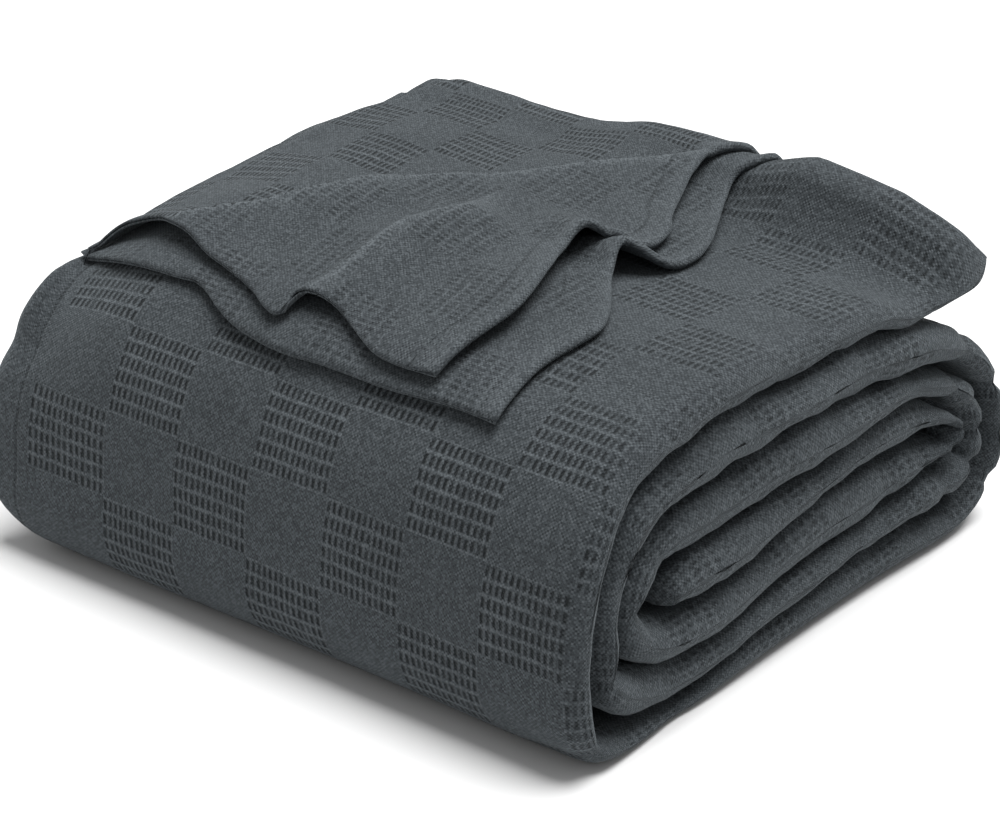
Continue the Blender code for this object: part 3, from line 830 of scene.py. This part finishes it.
LOWER_COLUMNS, LOWER_ROWS = 120, 110
FLAP_ALONG = 0.047          # a check square along and across the flaps' grain
FLAP_ACROSS = 0.0425
FLAP_LEAN = 0.08            # of the grain to the left, by the length
LOWER_CHECK = (0.096, -0.047)   # where a check square has its corner
SQUARES_IN = 20.5           # the corner's number of squares, well inside the woven check


def lower_shape(x, run, s, t):
    """The lower flap's height over its edges' own: ridges and a slight wave."""
    height = ridge_height(LOWER_RIDGES, x, run) * smooth_step(t / 0.2)
    return height + 0.0008 * unevenness((x, run, 0.0), 0.04, 31.0) * smooth_step(t / 0.1)


def lower_weave(x, y, zone):
    """The strip's grain lies across the flap here."""
    if zone is None:
        return True
    column = SQUARES_IN + (y - LOWER_CHECK[1]) / FLAP_ALONG
    return (column, SQUARES_IN + (x - LOWER_CHECK[0] + FLAP_LEAN * y) / FLAP_ACROSS)


lower_grid, lower_flat = flap_surface(
    (LOWER_HEM, LOWER_LEFT, LOWER_RIGHT), LOWER_COLUMNS, LOWER_ROWS, lower_shape, roll_top,
    gap=0.0024, wave_reach=0.5, middle_tight=0.8, tight=0.4,
)
lower_flap = doubled(
    "lower_flap", lower_grid, lower_flat, lower_weave, lambda x, y: 0.0, hem_line=0.027
)
lower_flap.data.materials.append(cotton("slate_cotton_lower_flap", SLATE))
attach(lower_flap, "root")
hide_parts("blanket")
lower_corners = [
    j * LOWER_COLUMNS + i for j in range(LOWER_ROWS - 1) for i in range(LOWER_COLUMNS - 1)
]
lower_top = BVHTree.FromPolygons(
    [tuple(p) for line in lower_grid for p in line],
    [(n, n + 1, n + LOWER_COLUMNS + 1, n + LOWER_COLUMNS) for n in lower_corners],
)

# ---------------------------------------------------------------------------------------
# The upper flap
# The other doubled layer, a little shorter, lies on the lower one. Its open hem waves along
# the front left in two arches. A corner of it is turned over along a crisp slanting crease,
# so that in front of the crease the check runs the other way.
# ---------------------------------------------------------------------------------------

UPPER_HEM = (
    (-175, -126, 4.5), (-170, -120, 10), (-157, -113, 15), (-132, -113, 18), (-116, -118, 18.5),
    (-99, -122, 17), (-82, -127, 14), (-63, -131, 12.5), (-42, -137, 12), (-24, -145, 13),
    (-15, -145, 13.5), (-13, -136, 16), (-8, -134, 18), (0, -133, 18), (11, -133, 15),
    (19, -135, 13), (32, -141, 13), (50, -148, 14), (71, -149, 14), (86, -148, 14),
)
UPPER_RIGHT = (
    (86, -148, 14), (88, -131, 14), (91, -111, 15.5), (92, -93, 16.5), (86, -70, 18),
    (78, -50, 19), (70, -33, 17.5), (66, -15, 13), (70, -2, 12), (79, 11, 12), (84, 21, 11),
    (83, 32, 10), (79, 46, 9.5), (69, 60, 8.5), (54, 90, 8), (45, 111, 8), (42, 126, 8.5),
    (42, 140, 8.5), (45, 150, 7.5), (50, 158, 6), (53, 170, 5), (53, 184, 4.5),
)
UPPER_LEFT = (
    (-175, -126, 4.5), (-170, -100, 6), (-168, -75, 7), (-169, -45, 10), (-174, -5, 14.5),
    (-178, 32, 16.5), (-180, 70, 14), (-177, 105, 9), (-171, 138, 6.5), (-166, 160, 6),
    (-165, 184, 5.5),
)
UPPER_RIDGES = (
    (-5, -135, -5, -60, 6, 22, 5, 6.5),
    (-5, -60, 5, -25, 6, 22, 6.5, 5.5),
    (5, -25, -6, 6, 7, 20, 5.5, 3),
    (-6, 6, -30, 34, 9, 12, 3, 0),
    (80, -12, 18, 10, 14, 14, 18, 0),
    (-50, -120, -30, -45, 20, 20, -3.5, -4.5),
    (42, -125, 46, -50, 20, 20, -2, -3),
)
# The crisp crease, in mm along the cloth: x, y
TURNED_CREASE = (
    (-136, -140), (-118, -114), (-102, -95), (-86, -75), (-73, -47), (-62, -18), (-45, 10),
    (-20, 42), (0, 75), (22, 108), (40, 130), (60, 160),
)
CREASE_RISE = 0.0066        # of the cloth to the crease
CREASE_REACH = 0.045        # how far in front of the crease the cloth still rises to it
CREASE_DROP = 0.0045        # and how close behind it the cloth drops
LEFT_EDGE_DROP = 0.005      # of the flap's left edge
CREASE_HIGHLIGHT = 0.0050        # width of the painted highlight on the crease, and on the ridge
RIDGE_HIGHLIGHT = 0.0060
BEHIND = 0.0020             # the painted highlight reaches so far over the back of them
UPPER_COLUMNS, UPPER_ROWS = 170, 160
FRONT_CHECK = (0.0594, -0.095)  # where a check square has its corner in front of the crease
BACK_CHECK = (-0.099, 0.023)    # and behind it
BACK_ACROSS = 0.0431        # a check square behind the crease, and the slant of its sides
BACK_ALONG = 0.0471
SLANT_ACROSS = 0.158
SLANT_ALONG = 0.0575


def off_crease(x, y):
    """Distance from the crease: over 0 in front of it, under 0 behind."""
    gap, share, side = min(
        to_line(x, y, start + end) for start, end in zip(TURNED_CREASE, TURNED_CREASE[1:])
    )
    return -math.copysign(gap, side)


def upper_shape(x, run, s, t):
    """The upper flap's height over its edges' own: ridges, the crease and a slight wave."""
    height = ridge_height(UPPER_RIDGES, x, run) * smooth_step(t / 0.15)
    off = off_crease(x, run)
    inside = smooth_step(t / 0.1) * ramp(run, 0.16, 0.11)
    fold = CREASE_RISE * math.exp(-max(off, 0.0) / CREASE_REACH)
    fold *= smooth_step((off + CREASE_DROP) / CREASE_DROP)
    fold *= 1.0 - 0.35 * ramp(run, -0.03, 0.08)
    height += fold * inside
    height -= LEFT_EDGE_DROP * smooth_step(s * -12.0 + 1.0)
    return height + 0.0008 * unevenness((x, run, 0.0), 0.035, 41.0) * smooth_step(t / 0.1)


def upper_weave(x, y, zone):
    """The grain lies across in front of the crease, as on the lower flap, and along behind it."""
    if zone is None:
        return off_crease(x, y) > 0.0
    if zone:
        column = SQUARES_IN + (y - FRONT_CHECK[1]) / FLAP_ALONG
        return (column, SQUARES_IN + (x - FRONT_CHECK[0] + FLAP_LEAN * y) / FLAP_ACROSS)
    u, v = x - BACK_CHECK[0], y - BACK_CHECK[1]
    column = SQUARES_IN + (u + SLANT_ACROSS * v) / BACK_ACROSS
    return (column, SQUARES_IN + (v + SLANT_ALONG * u) / BACK_ALONG)


def upper_highlight(x, y):
    """Painted highlight where light catches them: palest on the crisp crease and on the ridge in
    front of it, fading down the front.
    """
    off = off_crease(x, y)
    pale = 0.95 * math.exp(-max(off, 0.0) / CREASE_HIGHLIGHT) if off > -BEHIND else 0.0
    for x0, y0, x1, y1, _, _, rise0, rise1 in UPPER_RIDGES[:3]:
        gap, share, side = to_line(x, y, (x0, y0, x1, y1))
        if side < 0.0 or gap < BEHIND:
            strength = min(1.0, (rise0 + (rise1 - rise0) * share) / 5.5)
            pale = max(pale, strength * math.exp(-gap / RIDGE_HIGHLIGHT))
    return pale


upper_grid, upper_flat = flap_surface(
    (UPPER_HEM, UPPER_LEFT, UPPER_RIGHT), UPPER_COLUMNS, UPPER_ROWS, upper_shape, lower_top,
    gap=0.0036, wave_reach=0.075, middle_tight=1.0, tight=0.7,
)
upper_flap = doubled(
    "upper_flap", upper_grid, upper_flat, upper_weave, upper_highlight, hem_line=0.013
)
upper_flap.data.materials.append(cotton("slate_cotton_upper_flap", SLATE))
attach(upper_flap, "root")
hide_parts("blanket")

# ---------------------------------------------------------------------------------------
# The setting: a plain pale floor, soft light from above and the camera
# ---------------------------------------------------------------------------------------

floor_mesh = bpy.data.meshes.new("floor")
floor_mesh.from_pydata([(-8, -8, 0), (8, -8, 0), (8, 8, 0), (-8, 8, 0)], [], [(0, 1, 2, 3)])
floor = bpy.data.objects.new("floor", floor_mesh)
floor.location.z = -0.0004
bpy.context.scene.collection.objects.link(floor)
floor_paint = bpy.data.materials.new("pale_floor")
floor_paint.use_nodes = True
paint = floor_paint.node_tree.nodes["Principled BSDF"]
paint.inputs["Base Color"].default_value = (0.77, 0.77, 0.77, 1.0)
paint.inputs["Roughness"].default_value = 0.9
floor.data.materials.append(floor_paint)

world = bpy.data.worlds.new("studio")
world.use_nodes = True
world.node_tree.nodes["Background"].inputs["Color"].default_value = (1.0, 1.0, 1.0, 1.0)
world.node_tree.nodes["Background"].inputs["Strength"].default_value = 0.43
bpy.context.scene.world = world

sky_light = bpy.data.lights.new("sky_light", "SUN")
sky_light.energy = 4.65
sky_light.angle = math.radians(42.0)
lamp = bpy.data.objects.new("sky_light", sky_light)
lamp.rotation_euler = Vector((-0.14, -0.18, -1.0)).to_track_quat("-Z", "Y").to_euler()
bpy.context.scene.collection.objects.link(lamp)
bpy.context.scene.view_settings.view_transform = "Standard"

CAMERA_DOWN = 25.95         # the photo's view: degrees down, and round from the roll's front
CAMERA_ROUND = 39.67
camera_data = bpy.data.cameras.new("camera")
camera_data.lens = 115.2
camera_data.sensor_width = 36.0
camera = bpy.data.objects.new("camera", camera_data)
camera.location = (0.9783, -1.1777, 0.811)
camera.rotation_euler = (math.radians(90.0 - CAMERA_DOWN), 0.0, math.radians(CAMERA_ROUND))
bpy.context.scene.collection.objects.link(camera)
bpy.context.scene.camera = camera
